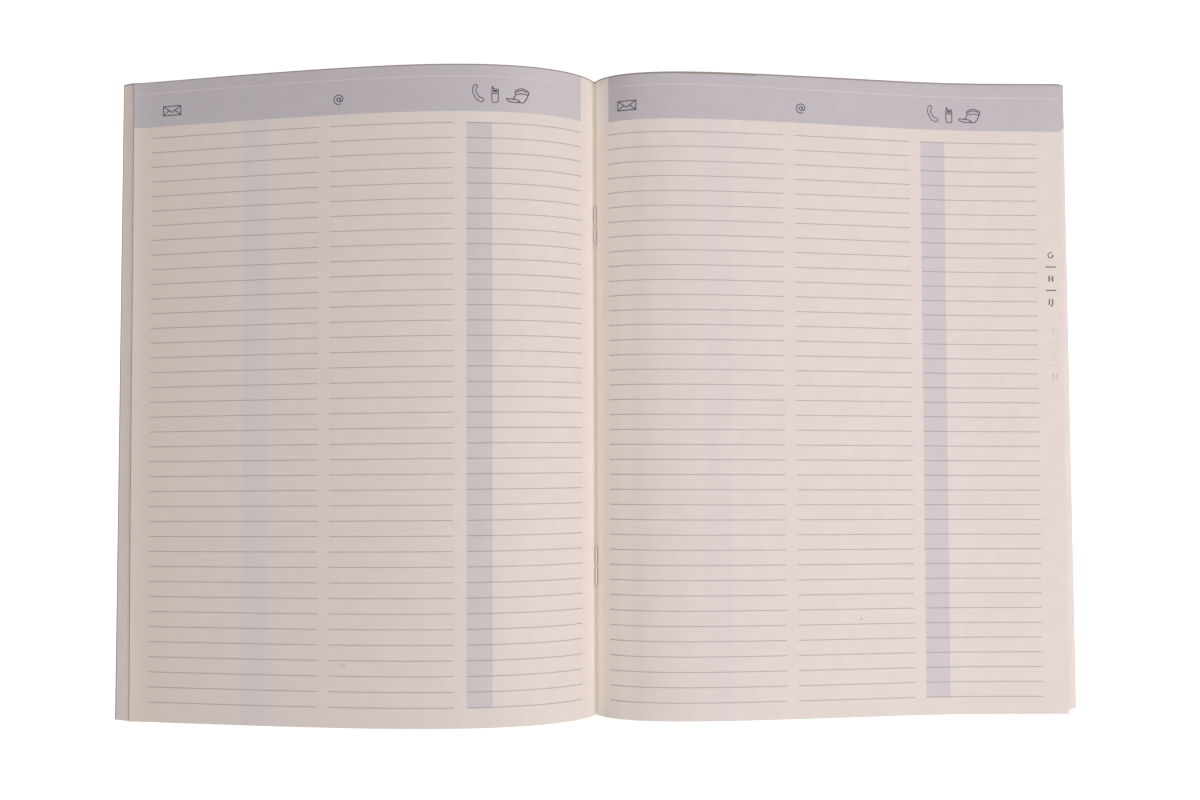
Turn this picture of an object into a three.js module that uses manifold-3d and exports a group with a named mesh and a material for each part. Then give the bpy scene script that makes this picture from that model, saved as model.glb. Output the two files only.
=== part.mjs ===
// Address book: folded sheets nested in each other and held at the fold by two wire staples.
// It lies open at its middle spread. Each half springs out of the fold in an arch and comes
// down on its fore edge. Millimetres, +Z up, spine along Y, origin under the middle of the
// footprint.

import * as THREE from 'three';
import { mergeVertices } from 'three/addons/utils/BufferGeometryUtils.js';
import Module from 'manifold-3d';

// Sheets
const PAGE_WIDTH = 170;
const PAGE_HEIGHT = 220;
const SHEETS = 27;
const PAPER_THICKNESS = 0.1;

// Bend of each half: slope of the page where it leaves the fold, the distance over which that
// slope dies away, the stretch over which it eases onto the table, and the stretch that lies flat
const LEFT_FOLD_SLOPE = 67.5;
const LEFT_SPRING = 32;
const LEFT_LANDING = 10;
const LEFT_FLAT = 5;
const RIGHT_FOLD_SLOPE = 68;
const RIGHT_SPRING = 16;
const RIGHT_LANDING = 48;
const RIGHT_FLAT = 17;

// Staples: round wire, outer length of the crown, length of each clinched end
const WIRE_DIAMETER = 0.6;
const CROWN_LENGTH = 13.5;
const CLINCH_LENGTH = 5.6;
const WIRE_BEND = 0.7;
const STAPLE_INSET = 51;

// Room between the wire and the paper, and the slack that rounds the bottom of the gutter
const CLEARANCE = 0.3;
const GUTTER_SLACK = 0.1;

// Fineness of the faceted curves
const STATIONS = 72;
const FOLD_SEGMENTS = 8;
const WIRE_SIDES = 10;
const WIRE_STEPS = 80;

const wireRadius = WIRE_DIAMETER / 2;
const blockThickness = SHEETS * PAPER_THICKNESS;
const gutterRadius = wireRadius + CLEARANCE + GUTTER_SLACK;
const spineLift = WIRE_DIAMETER + CLEARANCE;
const gutterLevel = spineLift + blockThickness;
const legOffset = (CROWN_LENGTH - WIRE_DIAMETER) / 2;
const stapleCentres = {
  staple_head: PAGE_HEIGHT / 2 - STAPLE_INSET,
  staple_foot: STAPLE_INSET - PAGE_HEIGHT / 2,
};

const bends = {
  left: {
    side: -1,
    foldSlope: THREE.MathUtils.degToRad(LEFT_FOLD_SLOPE),
    spring: LEFT_SPRING,
    landing: LEFT_LANDING,
    flat: LEFT_FLAT,
  },
  right: {
    side: 1,
    foldSlope: THREE.MathUtils.degToRad(RIGHT_FOLD_SLOPE),
    spring: RIGHT_SPRING,
    landing: RIGHT_LANDING,
    flat: RIGHT_FLAT,
  },
};

// Stations along the top page, from the end of the fold's round to the fore edge. The slope is
// the fold's slope, dying away exponentially to a steady descent, and it eases to nothing where
// the page comes down. Distances from the fold line are positive on both sides.
function walk(bend, descent) {
  const { foldSlope, spring, landing, flat } = bend;
  const run = PAGE_WIDTH - gutterRadius * foldSlope;
  const points = [];
  let x = gutterRadius * Math.sin(foldSlope);
  let z = gutterLevel + gutterRadius * (1 - Math.cos(foldSlope));
  let lastSlope = foldSlope;
  let lastDistance = 0;
  for (let i = 0; i <= STATIONS; i += 1) {
    const distance = run * (i / STATIONS) ** 1.3;
    const springing = descent + (foldSlope - descent) * Math.exp(-distance / spring);
    const landed = THREE.MathUtils.smoothstep(distance, run - flat - landing, run - flat);
    const slope = springing * (1 - landed);
    const step = distance - lastDistance;
    x += step * Math.cos((slope + lastSlope) / 2);
    z += step * Math.sin((slope + lastSlope) / 2);
    points.push({ x, z, slope });
    lastSlope = slope;
    lastDistance = distance;
  }
  return points;
}

// The descent is the one that brings the block's underside down to the table at the fore edge.
function settle(bend) {
  let steep = -Math.PI / 2;
  let shallow = Math.PI / 4;
  for (let i = 0; i < 50; i += 1) {
    const middle = (steep + shallow) / 2;
    const end = walk(bend, middle).at(-1);
    if (end.z > blockThickness) shallow = middle;
    else steep = middle;
  }
  return walk(bend, shallow);
}

// Points of one face of the block, at a depth below the top page, from the fold line outwards.
// In the fold the sheets are concentric arcs.
function face(bend, stations, depth) {
  const radius = gutterRadius + depth;
  const points = [];
  for (let i = 0; i < FOLD_SEGMENTS; i += 1) {
    const angle = (bend.foldSlope * i) / FOLD_SEGMENTS;
    const x = radius * Math.sin(angle);
    const z = gutterLevel + gutterRadius - radius * Math.cos(angle);
    points.push(new THREE.Vector2(bend.side * x, z));
  }
  for (const { x, z, slope } of stations) {
    const offsetX = x + depth * Math.sin(slope);
    const offsetZ = z - depth * Math.cos(slope);
    points.push(new THREE.Vector2(bend.side * offsetX, offsetZ));
  }
  return points;
}

// The block was trimmed flush while closed. Opened, a sheet lies further out the deeper it is,
// by a quarter turn about its depth, so the fore edge is a flight of ledges, one to a sheet.
function foreEdge(bend, stations) {
  const end = stations.at(-1);
  const points = [];
  for (let i = 0; i < SHEETS; i += 1) {
    const creep = (Math.PI / 2) * (i + 0.5) * PAPER_THICKNESS;
    const x = bend.side * (end.x + creep);
    points.push(new THREE.Vector2(x, end.z - i * PAPER_THICKNESS));
    points.push(new THREE.Vector2(x, end.z - (i + 1) * PAPER_THICKNESS));
  }
  return points;
}

// Cross-section of the whole block, anticlockwise: gutter, left top page, left fore edge,
// underside and back of the spine, right fore edge, right top page.
function blockSection() {
  const left = settle(bends.left);
  const right = settle(bends.right);
  const points = [
    ...face(bends.left, left, 0).slice(0, -1),
    ...foreEdge(bends.left, left),
    ...face(bends.left, left, blockThickness).slice(0, -1).reverse(),
    ...face(bends.right, right, blockThickness).slice(1, -1),
    ...foreEdge(bends.right, right).reverse(),
    ...face(bends.right, right, 0).slice(1, -1).reverse(),
  ];
  return new THREE.Shape(points);
}

// Centre line of a staple in the plane of the fold: clinched end, leg, crown, leg, clinched end.
function staplePath() {
  const legY = legOffset;
  const tipY = legY - CLINCH_LENGTH;
  const crownZ = wireRadius;
  const clinchZ = gutterLevel + CLEARANCE + wireRadius;
  const corners = [
    new THREE.Vector3(0, tipY, clinchZ),
    new THREE.Vector3(0, legY, clinchZ),
    new THREE.Vector3(0, legY, crownZ),
    new THREE.Vector3(0, -legY, crownZ),
    new THREE.Vector3(0, -legY, clinchZ),
    new THREE.Vector3(0, -tipY, clinchZ),
  ];
  const path = new THREE.CurvePath();
  let start = corners[0];
  for (let i = 1; i < corners.length - 1; i += 1) {
    const corner = corners[i];
    const into = corners[i - 1].clone().sub(corner).setLength(WIRE_BEND).add(corner);
    const outOf = corners[i + 1].clone().sub(corner).setLength(WIRE_BEND).add(corner);
    path.add(new THREE.LineCurve3(start, into));
    path.add(new THREE.QuadraticBezierCurve3(into, corner, outOf));
    start = outOf;
  }
  path.add(new THREE.LineCurve3(start, corners.at(-1)));
  return path;
}

const wasm = await Module();
wasm.setup();

function toManifold(geometry) {
  const bare = geometry.clone();
  bare.deleteAttribute('normal');
  bare.deleteAttribute('uv');
  const merged = mergeVertices(bare, 1e-5);
  return new wasm.Manifold(new wasm.Mesh({
    numProp: 3,
    vertProperties: new Float32Array(merged.attributes.position.array),
    triVerts: new Uint32Array(merged.index.array),
  }));
}

function toGeometry(manifold) {
  const mesh = manifold.getMesh();
  const geometry = new THREE.BufferGeometry();
  geometry.setAttribute('position', new THREE.BufferAttribute(mesh.vertProperties, 3));
  geometry.setIndex(new THREE.BufferAttribute(mesh.triVerts, 1));
  geometry.computeVertexNormals();
  return geometry;
}

// The block is the section carried along the spine, pierced by the four legs of the staples.
function blockGeometry() {
  const block = new THREE.ExtrudeGeometry(blockSection(), {
    depth: PAGE_HEIGHT,
    bevelEnabled: false,
  });
  block.rotateX(Math.PI / 2);
  block.translate(0, PAGE_HEIGHT / 2, 0);
  let solid = toManifold(block);
  for (const stapleY of Object.values(stapleCentres)) {
    for (const side of [-1, 1]) {
      const hole = new THREE.CylinderGeometry(
        wireRadius + CLEARANCE,
        wireRadius + CLEARANCE,
        2 * gutterLevel,
        16,
      );
      hole.rotateX(Math.PI / 2);
      hole.translate(0, stapleY + side * legOffset, gutterLevel);
      solid = solid.subtract(toManifold(hole));
    }
  }
  return toGeometry(solid);
}

function stapleGeometry() {
  const circle = new THREE.Shape();
  circle.absarc(0, 0, wireRadius, 0, 2 * Math.PI);
  return new THREE.ExtrudeGeometry(circle, {
    steps: WIRE_STEPS,
    curveSegments: WIRE_SIDES / 2,
    bevelEnabled: false,
    extrudePath: staplePath(),
  });
}

const paper = new THREE.MeshStandardMaterial({ color: 0xece0d3, roughness: 0.9, metalness: 0 });
const wire = new THREE.MeshStandardMaterial({ color: 0xb9babb, roughness: 0.35, metalness: 1 });

const booklet = new THREE.Group();

const pages = new THREE.Mesh(blockGeometry(), paper);
pages.name = 'pages';
booklet.add(pages);

for (const [name, y] of Object.entries(stapleCentres)) {
  const staple = new THREE.Mesh(stapleGeometry(), wire);
  staple.name = name;
  staple.position.y = y;
  booklet.add(staple);
}

const footprint = new THREE.Box3().setFromObject(booklet);
booklet.position.x = -(footprint.min.x + footprint.max.x) / 2;

export default booklet;
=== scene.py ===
"""Address book lying open at its middle spread, seen from above."""
import math

import bpy
import numpy as np
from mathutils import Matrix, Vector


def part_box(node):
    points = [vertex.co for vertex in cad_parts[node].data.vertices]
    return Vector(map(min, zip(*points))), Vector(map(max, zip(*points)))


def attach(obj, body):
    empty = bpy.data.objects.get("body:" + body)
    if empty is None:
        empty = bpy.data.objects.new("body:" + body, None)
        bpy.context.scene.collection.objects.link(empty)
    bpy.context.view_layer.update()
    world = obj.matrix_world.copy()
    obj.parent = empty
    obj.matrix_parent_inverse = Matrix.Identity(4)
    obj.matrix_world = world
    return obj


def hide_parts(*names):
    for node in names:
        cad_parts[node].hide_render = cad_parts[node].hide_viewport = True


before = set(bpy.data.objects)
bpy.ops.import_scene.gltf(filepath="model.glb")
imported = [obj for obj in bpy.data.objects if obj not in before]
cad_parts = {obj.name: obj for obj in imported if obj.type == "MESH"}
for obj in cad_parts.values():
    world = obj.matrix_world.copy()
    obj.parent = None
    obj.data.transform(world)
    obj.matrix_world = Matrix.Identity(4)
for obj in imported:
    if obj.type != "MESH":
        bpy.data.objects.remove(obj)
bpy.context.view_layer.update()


# MIDDLE SPREAD
# The innermost folded sheet: two facing pages of cream uncoated paper, printed by offset in one
# grey-blue and folded once. It springs out of the fold in two arches. Its tinted fields and the
# painted shade on its trimmed rims are cut along the mesh, so that each has a material of its own.

MM = 0.001
PAGE_WIDTH = 170 * MM
PAGE_HEIGHT = 220 * MM
HEAD = PAGE_HEIGHT / 2
SHEETS = 27
PAPER = 0.1 * MM
# a sheet is drawn a tenth thinner than it is, so that it doesn't touch the one under it
DRAWN_PAPER = 0.9 * PAPER
BLOCK = SHEETS * PAPER
WIRE = 0.6 * MM
CLEARANCE = 0.3 * MM
GUTTER_LEVEL = WIRE + CLEARANCE + BLOCK
GUTTER_RADIUS = 0.7 * MM
CREASE_RADIUS = 0.25 * MM
FOLD_X = (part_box("staple_head")[0][0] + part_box("staple_head")[1][0]) / 2

# of each half: slope at the fold in radians, spring length, landing length, flat length
BENDS = {
    -1: (math.radians(67.5), 32 * MM, 3 * MM, 1 * MM),
    1: (math.radians(68), 16 * MM, 48 * MM, 17 * MM),
}
# stations along each half and in its share of the fold, and the power that crowds them inwards
STATIONS = 72
FOLD_STATIONS = 8
CROWDING = 1.3

# of each half: the twist of the leaf, and how far the top sheet lifts off the others at its fore
# edge; the lift comes and goes in waves along the page's height and along the paper
LEAF_SKEW = {-1: 0.0056, 1: 0.0071}
TOP_SLACK = {-1: 0.6 * MM, 1: 0.3 * MM}
SLACK_WAVES = (31 * MM, 47 * MM)

# print, in distances from the fold along the paper and heights on the page
BAND_BOTTOM = HEAD - 15.85 * MM
BAND_LINE = HEAD - 4.05 * MM
BAND_LINE_HALF = 0.15 * MM
LINE_PITCH = 5.093 * MM
LINE_COUNT = 39
FIRST_LINE = {-1: 90.25 * MM, 1: 89.65 * MM}
LAST_LINE = {side: top - (LINE_COUNT - 1) * LINE_PITCH for side, top in FIRST_LINE.items()}
# column ends on each half, from the fold outwards, and the tinted strip for the dialling code
COLUMNS = {
    -1: ((8.9 * MM, 50.8 * MM), (55.2 * MM, 97.1 * MM), (101.2 * MM, 162.8 * MM)),
    1: ((7.6 * MM, 69.1 * MM), (73.3 * MM, 115.4 * MM), (119.5 * MM, 160.9 * MM)),
}
CODE_STRIP = {-1: (42.3 * MM, 50.8 * MM), 1: (119.5 * MM, 128.2 * MM)}
# width of the rim with painted shade, and how far right of the fold the head has one
RIM = 0.25 * MM
SHADE_RIM_HEAD_END = 60 * MM


def half_curve(side):
    """Cross-section of one top page, from the fold line to the fore edge. The slope starts as the
    fold's, dies away exponentially to a steady descent and eases to nothing where the page comes
    down; the descent is found by halving, so that the fore edge ends at the block's thickness.
    Returns distance along the paper, x from the fold, z, slope, and which stations are creased."""
    fold, spring, landing, flat = BENDS[side]
    run = PAGE_WIDTH - GUTTER_RADIUS * fold
    s = run * (np.arange(STATIONS + 1) / STATIONS) ** CROWDING
    landed = np.clip((s - (run - flat - landing)) / landing, 0, 1)
    ease = 1 - landed * landed * (3 - 2 * landed)
    steep, shallow = -math.pi / 2, math.pi / 4
    for _ in range(50):
        descent = (steep + shallow) / 2
        slope = (descent + (fold - descent) * np.exp(-s / spring)) * ease
        middle = (slope[1:] + slope[:-1]) / 2
        x = np.concatenate([[0], np.cumsum(np.diff(s) * np.cos(middle))])
        z = np.concatenate([[0], np.cumsum(np.diff(s) * np.sin(middle))])
        x += GUTTER_RADIUS * math.sin(fold)
        z += GUTTER_LEVEL + GUTTER_RADIUS * (1 - math.cos(fold))
        if z[-1] > BLOCK:
            shallow = descent
        else:
            steep = descent
    turn = fold * np.arange(FOLD_STATIONS) / FOLD_STATIONS
    x = np.concatenate([GUTTER_RADIUS * np.sin(turn), x])
    z = np.concatenate([GUTTER_LEVEL + GUTTER_RADIUS * (1 - np.cos(turn)), z])
    slope = np.concatenate([turn, slope])
    distance = np.concatenate([GUTTER_RADIUS * turn, s + GUTTER_RADIUS * fold])
    creased = (distance < GUTTER_RADIUS * fold - 1e-9).astype(float)
    return distance, x, z, slope, creased


CURVES = {side: half_curve(side) for side in (-1, 1)}


def page_point(u, y, depth=0.0, turn=LEAF_SKEW, slant=LEAF_SKEW, slack=0.0):
    """Place of a point of the paper, from u, its signed distance from the fold, y, its height on
    the page, and depth under the top page. The section is followed by straight steps between its
    stations and offset square to them; past the last station the paper goes on flat. In the fold
    the round is tightened to the crease, along the two slopes that it joins, fully in the top
    sheet and not at all in the lowest. A turn lowers the leaf and a slant lengthens its head, both
    growing from nothing at the fold; with slack 1 it lifts off the others in slow waves."""
    u, y, depth = np.broadcast_arrays(u, y, depth)
    point = np.empty(u.shape + (3,))
    for side in (-1, 1):
        half = u * side >= 0
        reach = np.abs(u[half])
        share = np.clip(reach / PAGE_WIDTH, 0, 1)
        height = y[half] - np.broadcast_to(turn[side], u.shape)[half] * reach
        reach = reach + np.broadcast_to(slant[side], u.shape)[half] * y[half] * share
        distance, x, z, slope, creased = CURVES[side]
        on = np.minimum(reach, distance[-1])
        at_slope = np.interp(on, distance, slope)
        wave = np.sin(height / SLACK_WAVES[0] + reach / SLACK_WAVES[1] + side)
        lift = slack * TOP_SLACK[side] * share ** 2 * (0.7 + 0.3 * wave)
        tightened = (GUTTER_RADIUS - CREASE_RADIUS) * (1 - depth[half] / BLOCK)
        pull = tightened * np.interp(on, distance, creased)
        offset = depth[half] - lift - pull
        out = np.interp(on, distance, x) + offset * np.sin(at_slope) + reach - on
        sunk = pull / math.cos(BENDS[side][0])
        point[half, 0] = FOLD_X + side * out
        point[half, 1] = height
        point[half, 2] = np.interp(on, distance, z) - offset * np.cos(at_slope) - sunk
    return point


def shell(top, under):
    """Closed thin shell between two grids of points of shape (..., columns, rows, 3), with one
    shell for each leading index. Returns points and quads; the under side is wound the other way
    and the four borders are walls."""
    m, n = top.shape[-3:-1]
    shells = top.size // (m * n * 3)
    index = np.arange(m * n).reshape(m, n)
    a, b = index[:-1, :-1].ravel(), index[1:, :-1].ravel()
    c, d = index[1:, 1:].ravel(), index[:-1, 1:].ravel()
    low = m * n
    rim = np.concatenate([index[:, 0], index[-1, 1:], index[-2::-1, -1], index[0, -2:0:-1]])
    after = np.roll(rim, -1)
    faces = np.concatenate(
        [
            np.stack([a, b, c, d], 1),
            np.stack([d, c, b, a], 1) + low,
            np.stack([rim, rim + low, after + low, after], 1),
        ]
    )
    points = np.concatenate([top.reshape(shells, -1, 3), under.reshape(shells, -1, 3)], 1)
    shift = np.arange(shells)[:, None, None] * 2 * low
    return points.reshape(-1, 3), (faces[None] + shift).reshape(-1, 4)


def make_mesh(name, points, quads, uv=None, angle=40):
    """Mesh object of quads, smooth except at edges sharper than the angle, with a UV map in metres
    of paper where uv gives one pair for each point."""
    mesh = bpy.data.meshes.new(name)
    mesh.vertices.add(len(points))
    mesh.vertices.foreach_set("co", np.ascontiguousarray(points, np.float32).ravel())
    mesh.loops.add(quads.size)
    mesh.loops.foreach_set("vertex_index", quads.astype(np.int32).ravel())
    mesh.polygons.add(len(quads))
    starts = np.arange(0, quads.size, quads.shape[1], dtype=np.int32)
    mesh.polygons.foreach_set("loop_start", starts)
    mesh.update(calc_edges=True)
    if uv is not None:
        layer = mesh.uv_layers.new(name="Page")
        layer.data.foreach_set("uv", uv[quads.ravel()].astype(np.float32).ravel())
    mesh.validate()
    mesh.shade_smooth()
    mesh.set_sharp_from_angle(angle=math.radians(angle))
    piece = bpy.data.objects.new(name, mesh)
    bpy.context.scene.collection.objects.link(piece)
    return piece


def linear(hex_colour):
    """Linear RGBA of an sRGB hex colour: divided by 12.92 near black, otherwise the 2.4 power."""
    srgb = np.array([int(hex_colour[i : i + 2], 16) for i in (1, 3, 5)]) / 255
    rgb = np.where(srgb <= 0.04045, srgb / 12.92, ((srgb + 0.055) / 1.055) ** 2.4)
    return (*rgb.tolist(), 1.0)


def add(tree, kind, inputs=None, **settings):
    """One node with its settings; each input is a value, or an output socket that is linked."""
    node = tree.nodes.new(kind)
    for key, value in settings.items():
        setattr(node, key, value)
    for key, value in (inputs or {}).items():
        if isinstance(value, bpy.types.NodeSocket):
            tree.links.new(value, node.inputs[key])
        else:
            node.inputs[key].default_value = value
    return node


def new_material(name, **sockets):
    """Material with its node tree and its shader, whose sockets are given by plain names."""
    material = bpy.data.materials.new(name)
    material.use_nodes = True
    shader = material.node_tree.nodes["Principled BSDF"]
    for key, value in sockets.items():
        shader.inputs[key.replace("_", " ")].default_value = value
    return material, material.node_tree, shader


# clouds in their real size; real fibres are about a tenth as thick, and drawn this coarse to show
CLOUD = 5.56 * MM
FIBRE = 0.4545 * MM
FORMATION = 0.015


def paper_material(name, colour, tones=()):
    """Uncoated paper, which scatters light and has no gloss: the formation of the fibres shows as
    faint clouds some millimetres wide, and the fibres themselves as a slight tooth. A tone runs
    from head to foot: its middle, the half widths in which it is full and to which it fades, in
    millimetres from the fold, its strength and its colour."""
    material, tree, shader = new_material(name, Roughness=0.88, IOR=1.5, Specular_IOR_Level=0.3)
    place = add(tree, "ShaderNodeTexCoord").outputs["Object"]
    clouds = add(tree, "ShaderNodeTexNoise", {"Vector": place, "Scale": 1 / CLOUD, "Detail": 4})
    fibres = add(tree, "ShaderNodeTexNoise", {"Vector": place, "Scale": 1 / FIBRE, "Detail": 3})
    base = linear(colour)[:3]
    tone = add(tree, "ShaderNodeValToRGB", {"Fac": clouds.outputs["Fac"]})
    thin, thick = tone.color_ramp.elements
    thin.position = 0.35
    thin.color = [c * (1 - FORMATION) for c in base] + [1]
    thick.position = 0.65
    thick.color = [min(c * (1 + FORMATION), 1) for c in base] + [1]
    colour_out = tone.outputs["Color"]
    if tones:
        page = add(tree, "ShaderNodeUVMap", uv_map="Page").outputs["UV"]
        u = add(tree, "ShaderNodeSeparateXYZ", {"Vector": page}).outputs["X"]
    for centre, full, faded, strength, tint in tones:
        off = add(tree, "ShaderNodeMath", {0: u, 1: centre * MM}, operation="SUBTRACT")
        away = add(tree, "ShaderNodeMath", {0: off.outputs[0]}, operation="ABSOLUTE").outputs[0]
        inside = add(
            tree,
            "ShaderNodeMapRange",
            {"Value": away, "From Min": faded * MM, "From Max": full * MM, "To Max": strength},
            interpolation_type="SMOOTHSTEP",
        )
        mix = add(
            tree,
            "ShaderNodeMix",
            {"Factor": inside.outputs["Result"], "A": colour_out, "B": linear(tint)},
            data_type="RGBA",
        )
        colour_out = mix.outputs["Result"]
    tree.links.new(colour_out, shader.inputs["Base Color"])
    tooth = {"Height": fibres.outputs["Fac"], "Strength": 0.25, "Distance": 0.02 * MM}
    bump = add(tree, "ShaderNodeBump", tooth)
    tree.links.new(bump.outputs["Normal"], shader.inputs["Normal"])
    return material


CREAM = "#f1e3de"
TONES = (
    # painted shade: the left margin is painted warmer and darker, for the dimmer light it gets
    (-172.0, 8.0, 45.0, 0.5, "#f1dbd2"),
    # the tinted strips of the other sides show through as a bluish shade
    (-123.9, 3.9, 4.9, 0.1, "#accae7"),
    (46.0, 3.9, 4.9, 0.055, "#accae7"),
    # painted light: the gutter is painted paler, and the left wall of the fold paler still
    (6.0, 6.0, 13.0, 0.5, "#fffaf0"),
    (-1.3, 0.5, 2.2, 0.7, "#fffaf0"),
    # painted shade: the bottom of the crease is painted a little darker
    (0.0, 0.7, 0.84, 0.1, "#c4b196"),
)
cream_paper = paper_material("cream_offset_paper", CREAM, TONES)
# an even offset tint, which looks flat and cool, and is paler towards the fold of the left page
BAND_TONES = ((-16.0, 10.0, 32.0, 1.0, "#d8cfd1"),)
band_paper = paper_material("cream_paper_grey_blue_tint", "#d0c8cd", BAND_TONES)
# a lighter tint, through which the cream shows
strip_paper = paper_material("cream_paper_light_tint", "#ddd4d5")
# a fine line left out of the tint, nearly as light as the bare paper
band_line_paper = paper_material("cream_paper_knockout_line", "#e1d8da")
# painted shade: grey-brown for the narrow rims along the trimmed edges, where the sheets' edges lie in
# shade
shade_rim_paper = paper_material("cream_paper_painted_shade_rim", "#a79893")


def stations(side, extra):
    """Distances of the section's stations on one side, with those of the fields' edges added."""
    return np.unique(np.round(np.concatenate([CURVES[side][0], extra]), 7))


SPREAD_ROWS = 33
band_start = {side: COLUMNS[side][0][0] for side in (-1, 1)}
left_u = stations(-1, [band_start[-1], *CODE_STRIP[-1], PAGE_WIDTH - RIM])
right_u = stations(1, [band_start[1], *CODE_STRIP[1]])
spread_u = np.concatenate([-left_u[::-1], right_u[1:]])
field_y = [BAND_BOTTOM, BAND_LINE - BAND_LINE_HALF, BAND_LINE + BAND_LINE_HALF, HEAD - RIM]
field_y += [*FIRST_LINE.values(), *LAST_LINE.values()]
spread_y = np.unique(np.concatenate([np.linspace(-HEAD, HEAD, SPREAD_ROWS), field_y]))
u, y = np.meshgrid(spread_u, spread_y, indexing="ij")
spread_top = page_point(u, y, 0.0, slack=1)
spread_under = page_point(u, y, DRAWN_PAPER, slack=1)
points, quads = shell(spread_top, spread_under)
paper_uv = np.tile(np.stack([u.ravel(), y.ravel()], 1), (2, 1))
middle_spread = make_mesh("middle_spread", points, quads, paper_uv)

# a face belongs to the field that its middle lies in, and only the upper side is printed; a
# field's number is its material's place among those appended below
across, up = paper_uv[quads].mean(1).T
upper = (quads < u.size).all(1)
in_band = np.zeros(len(quads), bool)
in_strip = np.zeros(len(quads), bool)
for side in (-1, 1):
    reach = across * side
    in_band |= (reach > band_start[side]) & (up > BAND_BOTTOM)
    beside_code = (reach > CODE_STRIP[side][0]) & (reach < CODE_STRIP[side][1])
    in_strip |= beside_code & (up < FIRST_LINE[side]) & (up > LAST_LINE[side])
in_line = in_band & (np.abs(up - BAND_LINE) < BAND_LINE_HALF)
# painted shade along the head, up to some way into the right page, and along the left fore edge
in_rim = (up > HEAD - RIM) & (across < SHADE_RIM_HEAD_END) | (across < RIM - PAGE_WIDTH)
field = np.zeros(len(quads), np.int32)
for number, inside in enumerate((in_band, in_strip, in_line, in_rim), 1):
    field[upper & inside] = number
for material in (cream_paper, band_paper, strip_paper, band_line_paper, shade_rim_paper):
    middle_spread.data.materials.append(material)
middle_spread.data.polygons.foreach_set("material_index", field)
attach(middle_spread, "root")
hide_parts("pages")


# NESTED SHEETS
# The other 26 folded sheets of the same paper, nested under the middle one and trimmed together
# with it while closed. So each stands out a little further at its fore edge than the one above it,
# more so on the left. The right-hand leaves carry the tinted band too, the left-hand ones are plain.

NESTED_ROWS = 8
# a fore edge stands out by a quarter turn about its sheet's depth, and the cut was a little uneven;
# the sheets have slipped on the staples, so that the left side has more of it than the right
TRIM_ERROR = 0.05 * MM
LEFT_SHARE, RIGHT_SHARE = 1.2, 0.7
# they lie a little nearer to the head than the top sheet, and only their left leaves are turned
HEAD_SHIFT, SHIFT_ERROR = 0.3 * MM, 0.06 * MM
LEFT_TURN, SKEW_ERROR = 0.006, 0.0004
# widths of the rims with painted shade, and how many of the lowest leaves have one at the left fore
# edge
FORE_RIM, HEAD_RIM = 0.4 * MM, 0.45 * MM
SHADE_RIM_LEAVES = 2

seed = np.random.default_rng(7)
lower = np.arange(1, SHEETS)
creep = math.pi / 2 * lower * PAPER + seed.normal(0, TRIM_ERROR, len(lower))
left_u = stations(-1, [PAGE_WIDTH - FORE_RIM])
right_u = stations(1, [band_start[1]])
nested_u = np.concatenate([-left_u[::-1], right_u[1:]])
# the creep comes in over the last tenth of the page
grow = np.clip((np.abs(nested_u) / PAGE_WIDTH - 0.9) / 0.1, 0, 1)
nested_y = [BAND_BOTTOM, HEAD - HEAD_RIM]
nested_y = np.sort(np.concatenate([np.linspace(-HEAD, HEAD, NESTED_ROWS), nested_y]))
share = np.where(nested_u < 0, -LEFT_SHARE, RIGHT_SHARE) * grow
u = nested_u[None, :, None] + share[None, :, None] * creep[:, None, None]
depth = (lower * PAPER)[:, None, None]
shift = (HEAD_SHIFT + seed.normal(0, SHIFT_ERROR, len(lower)))[:, None, None]
y = nested_y[None, None, :] + shift
skew = seed.normal(0.0, SKEW_ERROR, len(lower))[:, None, None]
u, y, depth = np.broadcast_arrays(u, y, depth)
turn = {-1: LEFT_TURN + skew, 1: skew}
slant = {-1: skew, 1: skew}
nested_top = page_point(u, y, depth, turn, slant)
nested_under = page_point(u, y, depth + DRAWN_PAPER, turn, slant)
points, quads = shell(nested_top, nested_under)
flat_uv = np.stack([u.reshape(len(lower), -1), y.reshape(len(lower), -1)], 2)
paper_uv = np.concatenate([flat_uv, flat_uv], 1).reshape(-1, 2)
nested_sheets = make_mesh("nested_sheets", points, quads, paper_uv)

across, up = paper_uv[quads].mean(1).T
side_size = flat_uv.shape[1]
upper = ((quads % (2 * side_size)) < side_size).all(1)
in_band = (across > band_start[1]) & (up > BAND_BOTTOM)
first_strip = ((quads % side_size) // len(nested_y)).max(1) == 1
lowest = quads[:, 0] // (2 * side_size) >= len(lower) - SHADE_RIM_LEAVES
# painted shade along the heads, and along the left fore edges of the lowest leaves
in_rim = (up > HEAD - HEAD_RIM) | (first_strip & lowest)
field = np.zeros(len(quads), np.int32)
for number, inside in enumerate((in_band, in_rim), 1):
    field[upper & inside] = number
leaf_paper = paper_material("cream_offset_paper_leaves", CREAM)
for material in (leaf_paper, band_paper, shade_rim_paper):
    nested_sheets.data.materials.append(material)
nested_sheets.data.polygons.foreach_set("material_index", field)
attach(nested_sheets, "root")
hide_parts("pages")


# RULED LINES
# Writing lines, printed in the same grey-blue ink in three columns a page. Each is a ribbon of ink
# a quarter of a millimetre wide on the paper, and darker where it is printed over the tinted strip.

LINE_WIDTH = 0.26 * MM
# depth of the ink: above the paper by more than the real film of ink, so that it isn't hidden
INK_LIFT = -0.03 * MM
MOTTLE = 1.11 * MM


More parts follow.
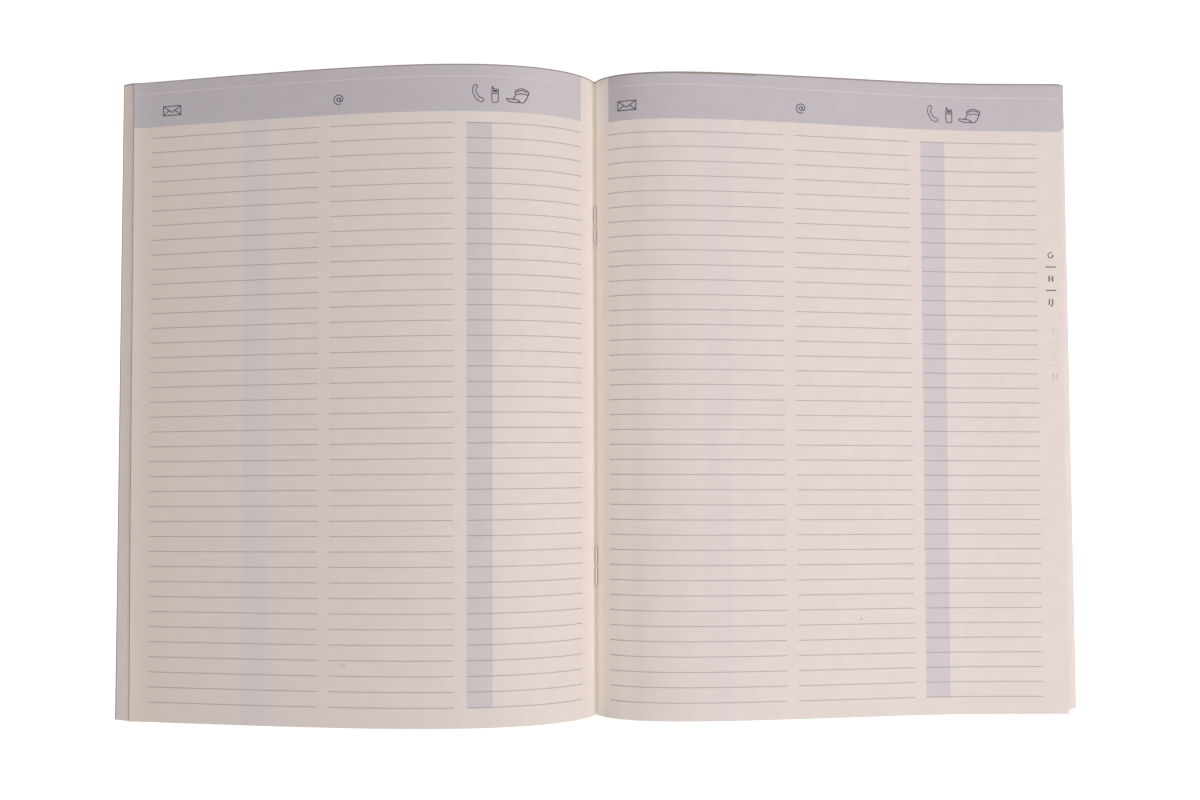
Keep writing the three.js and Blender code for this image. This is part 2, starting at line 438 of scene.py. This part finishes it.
def ink_material(name, colour):
    """Offset ink on uncoated paper: it sinks in, stays matt and looks slightly mottled, about a
    millimetre wide, where the fibres take it unevenly."""
    material, tree, shader = new_material(name, Roughness=0.8, IOR=1.5, Specular_IOR_Level=0.3)
    place = add(tree, "ShaderNodeTexCoord").outputs["Object"]
    mottle = add(tree, "ShaderNodeTexNoise", {"Vector": place, "Scale": 1 / MOTTLE, "Detail": 3})
    base = linear(colour)[:3]
    full = [c * 0.9 for c in base] + [1]
    thin = [min(c * 1.12, 1) for c in base] + [1]
    mix = add(
        tree,
        "ShaderNodeMix",
        {"Factor": mottle.outputs["Fac"], "A": full, "B": thin},
        data_type="RGBA",
    )
    tree.links.new(mix.outputs["Result"], shader.inputs["Base Color"])
    return material


def ribbons(name, side, ends, heights, width, ink, tint_ink):
    """Straight ribbons across one page: for each height on the page two edges half a width above
    and below it, with a point at each of the paper's stations between the two ends, lifted clear
    of the paper by a constant distance. Faces within the tinted strip get the ink for it."""
    at = stations(side, [*ends, *CODE_STRIP[side]])
    at = at[(at >= ends[0] - 1e-9) & (at <= ends[1] + 1e-9)]
    u = side * (at if side > 0 else at[::-1])
    edges = np.stack([heights - width / 2, heights + width / 2], 1)
    u, y = np.broadcast_arrays(u[None, :, None], edges[:, None, :])
    points = page_point(u, y, INK_LIFT, slack=1)
    lines, m = u.shape[:2]
    index = np.arange(lines * m * 2).reshape(lines, m, 2)
    quads = np.stack([index[:, :-1, 0], index[:, 1:, 0], index[:, 1:, 1], index[:, :-1, 1]], -1)
    piece = make_mesh(name, points.reshape(-1, 3), quads.reshape(-1, 4))
    piece.data.materials.append(ink)
    middle = np.abs(u[:, 1:, 0] + u[:, :-1, 0]) / 2
    over_tint = (middle > CODE_STRIP[side][0]) & (middle < CODE_STRIP[side][1])
    if over_tint.any():
        piece.data.materials.append(tint_ink)
        piece.data.polygons.foreach_set("material_index", over_tint.ravel().astype(np.int32))
    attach(piece, "root")


line_ink = ink_material("grey_blue_offset_ink_fine_line", "#bdb0b3")
overprint_ink = ink_material("grey_blue_offset_ink_over_tint", "#ada5ac")
for side, page in ((-1, "left"), (1, "right")):
    line_y = FIRST_LINE[side] - LINE_PITCH * np.arange(LINE_COUNT)
    for number, ends in enumerate(COLUMNS[side]):
        name = f"ruled_lines_{page}_{number + 1}"
        ribbons(name, side, ends, line_y, LINE_WIDTH, line_ink, overprint_ink)


# HEADER PICTOGRAMS
# Small outline signs, printed in solid ink on the tinted band over the columns: an envelope for the
# address, an at sign, and a telephone receiver, a mobile telephone and a curling fax sheet for the
# numbers. Sizes are in millimetres.

sign_ink = ink_material("grey_blue_offset_ink_solid", "#555266")


def round_curve(corners, closed=False, steps=6):
    """Smooth curve through the corners. Each span is the cubic through its two ends whose slope at
    an end is half the step between that end's neighbours; open ends mirror their neighbour."""
    p = np.asarray(corners, float)
    if closed:
        p = np.concatenate([p[-1:], p, p[:2]])
    else:
        p = np.concatenate([2 * p[:1] - p[1:2], p, 2 * p[-1:] - p[-2:-1]])
    t = (np.arange(steps) / steps)[None, :, None]
    a, b, c, d = p[:-3, None], p[1:-2, None], p[2:-1, None], p[3:, None]
    bend = (2 * a - 5 * b + 4 * c - d) + t * (3 * b - a - 3 * c + d)
    curve = b + 0.5 * t * ((c - a) + t * bend)
    return np.concatenate([curve.reshape(-1, 2), p[-2:-1]])


STROKE_STEP = 0.4


def print_strokes(name, place, strokes, material):
    """Sign of pen strokes in millimetres round its place on the page. A stroke is a line of points
    and a width. Further points are set along it at every step, so that it follows the bend of the
    paper. Its two edges lie half the width to either side of the points, square to the mean
    direction of the steps that meet there, and both are laid on the paper."""
    points, quads, start = [], [], 0
    for path, width in strokes:
        path = np.asarray(path, float)
        passed = np.concatenate([[0], np.cumsum(np.linalg.norm(np.diff(path, axis=0), axis=1))])
        between = np.linspace(0, passed[-1], int(passed[-1] / STROKE_STEP) + 2)
        at = np.unique(np.round(np.concatenate([passed, between]), 6))
        at = at[np.concatenate([[True], np.diff(at) > 0.01])]
        path = np.stack([np.interp(at, passed, path[:, 0]), np.interp(at, passed, path[:, 1])], 1)
        step = np.diff(path, axis=0)
        step /= np.linalg.norm(step, axis=1, keepdims=True)
        along = np.concatenate([step[:1], step[:-1] + step[1:], step[-1:]])
        if np.allclose(path[0], path[-1]):
            along[[0, -1]] = step[0] + step[-1]
        along /= np.linalg.norm(along, axis=1, keepdims=True)
        square = np.stack([-along[:, 1], along[:, 0]], 1) * width / 2
        edges = np.stack([path - square, path + square], 1) * MM + np.asarray(place) * MM
        points.append(page_point(edges[..., 0], edges[..., 1], INK_LIFT, slack=1).reshape(-1, 3))
        first = start + 2 * np.arange(len(path) - 1)
        quads.append(np.stack([first, first + 2, first + 3, first + 1], 1))
        start += 2 * len(path)
    piece = make_mesh(name, np.concatenate(points), np.concatenate(quads))
    piece.data.materials.append(material)
    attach(piece, "root")


PEN = 0.32
SIGNS = {
    "envelope": [
        ([(-3.45, 1.6), (3.45, 1.6)], PEN),
        ([(-3.45, -1.6), (3.45, -1.6)], PEN),
        ([(-3.3, -1.6), (-3.3, 1.6)], PEN),
        ([(3.3, -1.6), (3.3, 1.6)], PEN),
        ([(-3.3, 1.6), (0, -0.6), (3.3, 1.6)], PEN),
        ([(-3.3, -1.6), (-1.1, 0.1)], PEN),
        ([(3.3, -1.6), (1.1, 0.1)], PEN),
    ],
    "at_sign": [
        (round_curve([(0.65, 0), (0, 0.65), (-0.65, 0), (0, -0.65)], closed=True), 0.34),
        (
            round_curve(
                [(0.7, 0.65), (0.6, -0.4), (1.1, -0.65), (1.55, 0.1), (1.1, 1.2), (0, 1.6)]
                + [(-1.15, 1.15), (-1.6, 0), (-1.15, -1.15), (0, -1.6), (0.9, -1.4)]
            ),
            0.32,
        ),
    ],
    "receiver": [
        (
            round_curve(
                [(-0.75, 2.9), (-0.25, 2.1), (-0.65, 1.5), (-0.7, 0.5), (-0.1, -0.75), (0.8, -1.5)]
                + [(1.3, -1.55), (1.9, -2.3), (1.3, -2.9), (0.6, -2.85), (-0.6, -2.0), (-1.5, -0.6)]
                + [(-1.9, 1.0), (-1.5, 2.4)],
                closed=True,
            ),
            0.28,
        ),
    ],
    "mobile": [
        (
            round_curve(
                [(-0.85, 1.75), (0.85, 1.75), (1.05, 1.45), (1.05, -2.1), (0.55, -2.75)]
                + [(-0.55, -2.75), (-1.05, -2.1), (-1.05, 1.45)],
                closed=True,
            ),
            0.28,
        ),
        ([(-0.7, 1.8), (-0.88, 2.7)], 0.55),
        ([(-0.7, 1.1), (0.75, 1.1)], 0.75),
        ([(-1.05, 0.3), (1.05, 0.3)], 0.28),
    ],
    "fax_sheet": [
        (round_curve([(-0.8, 0.3), (-0.9, 1.4), (1.1, 2.4), (3.3, 1.7), (3.8, 1.0), (3.5, 0.4)]), PEN),
        (round_curve([(-0.7, 1.1), (1.1, 1.8), (3.2, 1.3)]), PEN),
        (round_curve([(-0.8, 0.3), (1.2, 0.7), (3.5, 0.4)]), PEN),
        (round_curve([(3.8, 1.0), (2.9, -1.1), (1.9, -2.3), (0.9, -2.3), (-0.1, -1.5)]), PEN),
        (round_curve([(-0.8, 0.3), (-1.1, -0.5), (-1.8, -1.3)]), PEN),
        (
            round_curve(
                [(-3.8, -1.2), (-2.6, -2.2), (0.6, -2.3), (-0.2, -1.5), (-1.8, -1.3)],
                closed=True,
            ),
            PEN,
        ),
    ],
}
SIGN_PLACES = {
    "left": {
        "envelope": (-155.4, 99.5),
        "at_sign": (-94.3, 99.3),
        "receiver": (-46.9, 100.3),
        "mobile": (-41.3, 100.0),
        "fax_sheet": (-33.6, 99.9),
    },
    "right": {
        "envelope": (14.8, 99.2),
        "at_sign": (75.6, 99.2),
        "receiver": (124.1, 100.0),
        "mobile": (130.0, 99.7),
        "fax_sheet": (137.4, 99.5),
    },
}
for page, places in SIGN_PLACES.items():
    for sign, place in places.items():
        print_strokes(f"{sign}_{page}", place, SIGNS[sign], sign_ink)


# INDEX LETTERS
# Thumb index printed down the right margin: serif capitals with short bars between them. Those of
# the leaves before and after show through the thin paper very faintly, the left ones reversed.
# Sizes are in millimetres.

letter_ink = ink_material("grey_offset_ink_small_type", "#5e5457")
# ink on the far side of the paper, of which little more than a shade is left
ghost_ink = ink_material("ink_seen_through_thin_paper", "#e6d9d6")
STEM, HAIR = 0.42, 0.22
SERIF = 0.36
LETTER_SCALE = 0.8
BAR_HALF, BAR_WIDTH = 1.8, 0.36


def stem(x, low=-1.1, high=1.1):
    """Upright stroke with a hairline serif across each end."""
    feet = [([(x - SERIF, y), (x + SERIF, y)], HAIR) for y in (low, high)]
    return [([(x, low), (x, high)], STEM), *feet]


bowl = np.radians(np.linspace(56, 318, 24))
LETTERS = {
    "D": stem(-0.6)
    + [(round_curve([(-0.6, 1.1), (0.4, 0.9), (0.95, 0), (0.4, -0.9), (-0.6, -1.1)]), 0.3)],
    "E": stem(-0.5)
    + [([(-0.5, y), (0.75, y)], HAIR) for y in (-1.1, 0, 1.1)]
    + [([(0.75, -1.15), (0.75, -0.7)], HAIR), ([(0.75, 0.7), (0.75, 1.15)], HAIR)],
    "F": stem(-0.5) + [([(-0.5, 1.1), (0.75, 1.1)], HAIR), ([(-0.5, 0), (0.6, 0)], HAIR)],
    "G": [
        (np.stack([1.12 * np.cos(bowl), 1.15 * np.sin(bowl)], 1), 0.3),
        ([(0.98, -0.85), (0.98, -0.05)], STEM),
        ([(0.55, -0.05), (1.35, -0.05)], HAIR),
    ],
    "H": stem(-0.8) + stem(0.8) + [([(-0.8, 0), (0.8, 0)], HAIR)],
    "IJ": stem(-0.75)
    + [
        ([(0.35, 1.1), (1.1, 1.1)], HAIR),
        (round_curve([(0.72, 1.1), (0.72, 0.1), (0.68, -0.9), (0.35, -1.6), (-0.1, -1.9)]), 0.4),
    ],
    "K": stem(-0.7) + [([(0.8, 1.1), (-0.6, -0.15)], HAIR), ([(-0.15, 0.3), (0.9, -1.1)], STEM)],
    "L": stem(-0.5) + [([(-0.5, -1.1), (0.8, -1.1)], HAIR), ([(0.8, -1.15), (0.8, -0.6)], HAIR)],
    "M": stem(-0.95) + stem(0.95) + [([(-0.95, 1.1), (0, -1.0), (0.95, 1.1)], 0.26)],
}
# name, place of the first letter, pitch, letters, which way they face, ink
INDEX = (
    ("index_g_h_ij", (165.7, 50.1), 8.3, ("G", "H", "IJ"), 1, letter_ink),
    ("index_k_l_m_through", (166.8, 23.3), 8.1, ("K", "L", "M"), 1, ghost_ink),
    ("index_d_e_f_through", (-166.2, 78.0), 8.1, ("D", "E", "F"), -1, ghost_ink),
)
for name, place, pitch, letters, facing, ink in INDEX:
    strokes = []
    for number, letter in enumerate(letters):
        for path, width in LETTERS[letter]:
            drawn = np.asarray(path) * (facing * LETTER_SCALE, LETTER_SCALE)
            strokes.append((drawn - (0, number * pitch), width))
    for number in range(len(letters) - 1):
        y = -(number + 0.5) * pitch
        strokes.append(([(-BAR_HALF, y), (BAR_HALF, y)], BAR_WIDTH))
    print_strokes(name, place, strokes, ink)


# MARKS OF USE
# A faint smudge of graphite, rubbed into the left page under one of the lowest lines, and a small
# dried speck of dirt on the right page. Both lie as flat and matt on the paper as its ink.

smudge = ink_material("rubbed_in_graphite", "#e0d3cf")
speck = ink_material("dried_speck_of_dirt", "#cbbdb9")
print_strokes("smudge_left", (-92.3, -89.5), [([(-1.1, 0), (0, -0.1), (1.0, 0.1)], 0.75)], smudge)
print_strokes("speck_right", (95.9, -76.6), [([(0, -0.45), (0.05, 0.45)], 0.55)], speck)


# STAPLES
# Two staples of galvanised steel wire, driven through the fold from outside and clinched in the
# gutter. The zinc has dulled to a pale oxide and carries the fine lengthwise marks of drawing.

# the real marks are some hundredths of a millimetre wide, and drawn this coarse to show; they are
# twenty times as long as wide
DRAWING_MARK = 0.111 * MM
# half of the surface still answers as metal, the rest as the dull oxide
zinc, tree, shader = new_material("galvanised_drawn_wire", Metallic=0.5)
place = add(tree, "ShaderNodeTexCoord").outputs["Object"]
drawn = add(tree, "ShaderNodeMapping", {"Vector": place, "Scale": (1, 0.05, 1)}).outputs["Vector"]
marks = add(tree, "ShaderNodeTexNoise", {"Vector": drawn, "Scale": 1 / DRAWING_MARK, "Detail": 2})
mark = marks.outputs["Fac"]
tone = add(
    tree,
    "ShaderNodeMix",
    {"Factor": mark, "A": linear("#d4ccc3"), "B": linear("#ebe3da")},
    data_type="RGBA",
)
rough = add(tree, "ShaderNodeMapRange", {"Value": mark, "To Min": 0.42, "To Max": 0.6})
tree.links.new(tone.outputs["Result"], shader.inputs["Base Color"])
tree.links.new(rough.outputs["Result"], shader.inputs["Roughness"])
for name in ("staple_head", "staple_foot"):
    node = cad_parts[name]
    node.data.materials.clear()
    node.data.materials.append(zinc)


# FLOOR AND LIGHT
# A plain white table under one large soft box, with a small one at the right that shades the
# pages' bends, in a white room.


def seen(tree):
    """1 on rays from the camera and on reflected ones, otherwise 0: the sum of the two flags."""
    ray = add(tree, "ShaderNodeLightPath").outputs
    flags = {0: ray["Is Camera Ray"], 1: ray["Is Glossy Ray"]}
    return add(tree, "ShaderNodeMath", flags, operation="ADD").outputs[0]


TABLE_SIZE = 6
TABLE_GLOW = 0.6
ROOM_LIGHT = 0.1

bpy.ops.mesh.primitive_plane_add(size=TABLE_SIZE)
floor = bpy.context.object
floor.name = "floor"
# matt white lacquer, which looks an even white and keeps only the softest shadow
white, tree, shader = new_material("white_table", Roughness=0.9, Specular_IOR_Level=0.0)
shader.inputs["Base Color"].default_value = linear("#f4f4f4")
shader.inputs["Emission Color"].default_value = (1, 1, 1, 1)
glow = add(tree, "ShaderNodeMath", {0: seen(tree), 1: TABLE_GLOW}, operation="MULTIPLY")
tree.links.new(glow.outputs[0], shader.inputs["Emission Strength"])
floor.data.materials.append(white)

room = bpy.data.worlds.new("white_room")
room.use_nodes = True
tree = room.node_tree
background = tree.nodes["Background"]
background.inputs["Color"].default_value = (1, 0.96, 0.94, 1)
strength = add(tree, "ShaderNodeMath", {0: seen(tree), 1: ROOM_LIGHT}, operation="MAXIMUM")
tree.links.new(strength.outputs[0], background.inputs["Strength"])
bpy.context.scene.world = room


def soft_box(name, place, size, watts):
    """Square area lamp of a side in metres, turned from its place towards the book."""
    data = bpy.data.lights.new(name, "AREA")
    data.shape = "SQUARE"
    data.size = size
    data.energy = watts
    lamp = bpy.data.objects.new(name, data)
    lamp.location = place
    lean = math.acos(place[2] / math.dist(place, (0, 0, 0)))
    lamp.rotation_euler = (lean, 0, math.atan2(place[0], -place[1]))
    bpy.context.scene.collection.objects.link(lamp)


soft_box("softbox_overhead", (0, -0.25, 1.2), 2.5, 16.2)
soft_box("softbox_right", (0.75, -0.05, 0.62), 0.5, 3.65)


# CAMERA
# It looks almost straight down, from a little left of and below the middle of the book. Its place,
# turn and lens come from a fit to the ends of the ruled lines.

camera_data = bpy.data.cameras.new("camera")
camera_data.sensor_width = 36
camera_data.lens = 41.07
camera_data.clip_start = 0.01
camera = bpy.data.objects.new("camera", camera_data)
camera.location = (FOLD_X - 11.7 * MM, -25.9 * MM, 477.9 * MM)
camera.rotation_mode = "ZXY"
camera.rotation_euler = (0.0507, -0.0279, -0.0038)
bpy.context.scene.collection.objects.link(camera)
bpy.context.scene.camera = camera
bpy.context.scene.view_settings.view_transform = "Standard"
